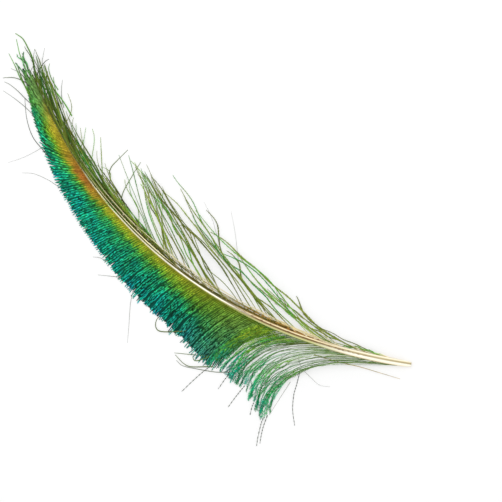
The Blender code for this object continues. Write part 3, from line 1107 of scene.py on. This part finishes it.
def make_fringe(chance, look):
    one = fringe_barbs(chance)
    add_piece(tube_mesh("fringe_barb_stems", one, 0.6), look, *OUTER)

    def shape(at):
        loose = np.interp(at["u"], (0, 0.5, 0.8, 0.95, 1), (-0.3, -0.2, 0.65, 1, 0.5))
        close = np.interp(at["u"], (0, 0.12, 0.5, 0.9, 1), (0.4, 0.8, 0.45, 0.85, 0.5))
        full = loose * at["open"] + close * (1 - at["open"])
        full = full * np.interp(at["bead"], (0, 0.35, 0.7), (0.3, 0.7, 1.1))
        return 0.50 + 1.05 * full, 0.16 + 0.16 * full, 20 + 12 * full

    blades = barbules(one, 0.48, chance, shape, start=0.05, end=0.99, spread=10)
    blades["marks"]["tone"] *= glints_and_shade(blades, 0.75, chance)
    add_barbules(blades, look, OUTER, "fringe_barbules")


# ---- The inner vane ----

LOOSE_HERLS = 38
SPARSE_HERLS = 20
BUNDLED_HERLS = 115


def herl_strands(paths, places, chance, layer, width, pale_reach, **marks):
    """Herls that pile up to the height of layer, and are cream at first, over pale_reach."""
    count = len(paths)
    u = STEP_SHARES[None, :]
    along = lengths_along(paths)
    piled = for_each(chance.uniform(0, layer, count)) * eased(u, 0, 0.15)
    height = underside(places, INNER_ARCH * reaches(paths)) + 0.15 + piled
    cream = 0.95 - 0.75 * eased(places, 0.50, 0.65)
    pale = for_each(cream) * (1 - eased(along, 0, for_each(pale_reach)))
    width = for_each(width) * (1 - 0.7 * u**2)
    marks = {name: for_each(value * np.ones(count)) for name, value in marks.items()}
    marks["lot"] = marks["lot"] * (0.7 + 0.3 * eased(u, 0, 0.45))
    return strands(paths, height=height, width=width, pale=pale, **marks)


def loose_herls(chance):
    """Long herls that cross the open side of the curve, with clear gaps between them."""
    count = LOOSE_HERLS
    u = STEP_SHARES[None, :]
    places = spaced(0.03, 0.56, count, chance, 0.6)
    groups = clumps(count, (1, 3), chance)
    stretch = np.where(some(0.35, count, chance), chance.uniform(0.55, 0.95, count), 1)
    stretch *= chance.normal(0.99, 0.03, count)
    aside = chance.normal(0.6, 4.2, count)
    turn = chance.normal(0, 12, count)
    paths = inner_paths(places, stretch, aside, turn)
    pull = 0.6 * eased(u, 0, 0.5) * (1 - 0.8 * eased(u, 0.6, 1))
    paths = gathered(paths, groups, pull)
    paths = waved(waved(paths, 2.6, (0.7, 1.7), chance), 0.5, (3, 6), chance)
    values = ranged(
        count, chance, width=(0.40, 0.70), pale_reach=(5, 16), lot=(0, 1), tone=(0.75, 1.3),
        flue=(0.4, 1.1),
    )
    values["lot"] = 0.15 + 0.85 * values["lot"]**1.6
    return herl_strands(paths, places, chance, 1.8, brown=0, **values)


def sparse_herls(chance):
    """Thin herls that stand away from the bundle beside the shaft's upper half."""
    count = SPARSE_HERLS
    places = spaced(0.46, 0.86, count, chance, 0.4)
    stretch = chance.uniform(0.6, 1.05, count)
    aside = chance.normal(0, 3, count)
    turn = chance.normal(0, 4, count)
    paths = waved(inner_paths(places, stretch, aside, turn), 3.2, (0.5, 1.1), chance)
    values = ranged(
        count, chance, width=(0.30, 0.55), pale_reach=(3, 8), lot=(0.3, 0.9), tone=(0.8, 1.2),
        flue=(0.2, 0.6),
    )
    return herl_strands(paths, places, chance, 1.6, brown=0, **values)


def bundled_herls(chance):
    """Herls that lie close along the upper half of the shaft, in a dark green bundle."""
    count = BUNDLED_HERLS
    places = spaced(0.50, 0.985, count, chance, 0.4)
    far = some(0.22, count, chance)
    close = chance.uniform(1.2, 6, count) * (1 + 0.35 * eased(places, 0.66, 0.76))
    offsets = np.where(far, chance.uniform(6, 11, count), close)
    lengths = np.interp(places, (0.50, 0.98), (70, 40)) * chance.uniform(0.75, 1.1, count)
    past_tip = np.interp(places, (0.8, 1), (12, 24)) * chance.uniform(0.1, 1, count)**1.5
    lengths = np.minimum(lengths, (1 - places) * SHAFT_LENGTH + past_tip)
    paths = beside_shaft(places, offsets, lengths, chance.normal(0, 1.4, count))
    paths = waved(paths, 0.7, (0.5, 1.3), chance)
    brown = 0.12 * some(0.2, count, chance)
    tone = chance.choice((0.5, 0.7, 1, 1.4), count) * (1 - 0.40 * eased(places, 0.65, 0.80))
    values = ranged(count, chance, width=(0.40, 0.75), pale_reach=(2, 8), lot=(0.1, 1), flue=(0.3, 0.8))
    values["lot"] = np.maximum(values["lot"], 0.6 * eased(places, 0.7, 0.9))
    return herl_strands(paths, places, chance, 1.4, brown=brown, tone=tone, **values)


BESIDE_LINES = (
    # first and last place, offset from the shaft's middle line at both, width, cream, brown, tone
    (0.14, 0.30, 2.3, 3.8, 1, 1, 0.05, 1),
    (0.16, 0.34, 3, 5.2, 0.9, 1, 0, 1),
    (0.19, 0.38, 2, 2.2, 1, 0, 0.95, 0.95),
    (0.21, 0.40, 2.6, 3.5, 1, 0.2, 0.75, 1.15),
    (0.24, 0.46, 4.5, 5.4, 0.8, 1, 0, 1.15),
    (0.26, 0.56, 1.9, 1.4, 1.2, 0, 0.35, 0.7),
    (0.34, 0.56, 2.8, 2.8, 0.7, 0.6, 0, 1.05),
    (0.28, 0.54, 3.7, 4, 0.9, 0.25, 0.4, 1.25),
    (0.40, 0.70, 5.3, 3.9, 0.7, 1, 0, 1.2),
    (0.44, 0.66, 1, 0.8, 0.5, 0, 0.4, 0.55),
    (0.44, 0.64, 3.4, 3, 0.8, 0.1, 0.2, 0.6),
    (0.50, 0.80, 0.8, 0.6, 0.4, 0, 0.3, 0.5),
    (0.50, 0.80, 1.5, 1.3, 0.5, 1, 0, 1.4),
    (0.55, 0.80, 2.3, 2.2, 0.8, 0, 0.3, 0.4),
    (0.60, 0.84, 3.6, 3, 0.5, 0.9, 0, 1.2),
    (0.60, 0.82, 4.3, 4.2, 0.8, 0, 0.2, 0.45),
)
LINE_COPIES = 3             # stems that lie side by side in each line
LINE_ROOT = 0.03            # share of the shaft over which a line moves out from under it


def beside_lines(chance):
    """Stems at the roots of the herls, which lie close along the shaft in pale and dark lines."""
    rows = np.repeat(np.array(BESIDE_LINES), LINE_COPIES, axis=0)
    count = len(rows)
    first, last, near, far, width, pale, brown, tone = rows.T
    stagger = np.tile(np.linspace(0, 0.05, LINE_COPIES), len(BESIDE_LINES))
    first = first + stagger + chance.uniform(-0.01, 0.01, count)
    last = last - chance.uniform(0, 0.05, count) + 0.02
    places = for_each(first) + for_each(last - first) * STEP_SHARES[None, :]
    shaft_width, _ = at_places(SHAFT_SIZES, places)
    offsets = for_each(near) + for_each(far - near) * STEP_SHARES[None, :]
    offsets = offsets + for_each(chance.normal(0, 0.11, count))
    out = eased(places - for_each(first), 0, LINE_ROOT)
    offsets = np.minimum(shaft_width / 2 - INNER_INSET, offsets) * (1 - out) + offsets * out
    paths = waved(along_shaft(places, offsets), 0.12, (1, 2), chance)
    values = ranged(count, chance, width=(1.3, 1.8), lot=(0.1, 0.6), tone=(0.85, 1.1))
    values["width"] *= width / LINE_COPIES
    values["tone"] *= tone
    pale_reach = np.ones(count)
    made = herl_strands(paths, first, chance, 0.5, pale_reach=pale_reach, brown=brown, flue=0, **values)
    at, distance = place_and_distance(paths)
    lift = 0.5 + 1.1 * eased(places, 0.45, 0.55)
    made["height"] = np.maximum(made["height"] + lift, shaft_top(at, distance) + 0.02)
    made["pale"] = for_each(pale * chance.uniform(0.9, 1, count)) * np.ones(places.shape)
    made["tone"] = made["tone"] * (1 - 0.35 * eased(places, 0.62, 0.77))
    return made


def make_herls(chance, look):
    fluffy = joined(loose_herls(chance), sparse_herls(chance), bundled_herls(chance))
    stems = joined(fluffy, beside_lines(chance))
    add_piece(tube_mesh("inner_herl_stems", stems, 0.6), look, *INNER)

    def shape(at):
        full = np.interp(at["u"], (0, 0.1, 0.25, 0.8, 1), (0.1, 0.3, 1, 1, 0.4))
        flue = at["flue"] * full
        return 0.45 + 1.05 * flue, 0.14 + 0.14 * flue, 10 + 9 * flue

    blades = barbules(fluffy, 0.42, chance, shape, start=0.05, end=0.99)
    blades["marks"]["pale"] = 0.6 * blades["marks"]["pale"]
    blades["marks"]["tone"] = blades["marks"]["tone"] * glints_and_shade(blades, 0.4, chance)
    add_barbules(blades, look, INNER, "inner_herl_barbules_1", "inner_herl_barbules_2")


# ---- Single strands ----

BEAD_SPACING = 2.1
BEADED_LOT = 0.05


def make_hairs(chance):
    u = STEP_SHARES
    paths, widths, lots = [], [], []
    for width, lot, points in STRANDS:
        paths.append(curve_through(points, STEPS))
        widths.append(width * (1 - 0.6 * u**1.5))
        lots.append(lot)
    for points in BEADED_HAIRS:
        path = curve_through(points, STEPS)
        length = np.linalg.norm(np.diff(path, axis=0), axis=1).sum()
        beads = 0.5 - 0.5 * np.cos(2 * np.pi * u * length / BEAD_SPACING)
        paths.append(path)
        widths.append((0.24 + 0.46 * beads**2) * (1 - 0.3 * u))
        lots.append(BEADED_LOT)
    paths = np.array(paths)
    height = 0.4 * (1 - u[None, :]) + for_each(chance.uniform(0.1, 0.6, len(paths)))
    one = strands(paths, height=height, width=np.array(widths), lot=for_each(lots))
    mesh = tube_mesh("stray_strands", one, 0.7, 1)
    add_piece(mesh, hair_look(), *OUTER, "inner_vane")


# ---- Studio, in metres ----

CAMERA_TURN = 217           # the photograph's upward direction, about the vertical
CAMERA_AIM = (117.6, 3.5)   # middle of the picture, in millimetres in the feather's own frame
CAMERA_HEIGHT = 1.1
PICTURE_WIDTH = 0.3012
FLOOR_SIZE = 6
SKY_STRENGTH = 1
LAMP_SIZE = 0.9
LAMP_POWER = 3
LAMP_PLACE = (0.35, -0.45, 0.95)


def make_floor():
    half = FLOOR_SIZE / 2
    corners = [(-half, -half, 0.0), (half, -half, 0.0), (half, half, 0.0), (-half, half, 0.0)]
    mesh = bpy.data.meshes.new("floor")
    mesh.from_pydata(corners, [], [(0, 1, 2, 3)])
    mesh.materials.append(floor_look())
    linked("floor", mesh)


def make_lights():
    world = bpy.data.worlds.new("soft_white")
    bpy.context.scene.world = world
    world.use_nodes = True
    sky = world.node_tree.nodes["Background"]
    sky.inputs["Color"].default_value = (1.0, 1.0, 1.0, 1.0)
    sky.inputs["Strength"].default_value = SKY_STRENGTH
    data = bpy.data.lights.new("soft_lamp", "AREA")
    data.shape = "DISK"
    data.size = LAMP_SIZE
    data.energy = LAMP_POWER
    lamp = linked("soft_lamp", data)
    lamp.location = LAMP_PLACE
    reach = math.hypot(LAMP_PLACE[0], LAMP_PLACE[1])
    tilt = math.atan2(reach, LAMP_PLACE[2])
    lamp.rotation_euler = (tilt, 0, math.atan2(LAMP_PLACE[0], -LAMP_PLACE[1]))


def make_camera():
    aim = (np.array((*CAMERA_AIM, 0)) + SHIFT) * MM
    data = bpy.data.cameras.new("camera")
    data.lens = data.sensor_width * CAMERA_HEIGHT / PICTURE_WIDTH
    camera = linked("camera", data)
    camera.location = (aim[0], aim[1], CAMERA_HEIGHT)
    camera.rotation_euler = (0, 0, math.radians(CAMERA_TURN))
    bpy.context.scene.camera = camera
    bpy.context.scene.view_settings.view_transform = "Standard"


def make_feather():
    barb = barb_look()
    make_shaft()
    make_dense_vane(np.random.default_rng(SEED), barb)
    make_fringe(np.random.default_rng(SEED + 1), barb)
    make_herls(np.random.default_rng(SEED + 2), herl_look())
    make_hairs(np.random.default_rng(SEED + 3))


make_camera()
make_floor()
make_lights()
make_feather()
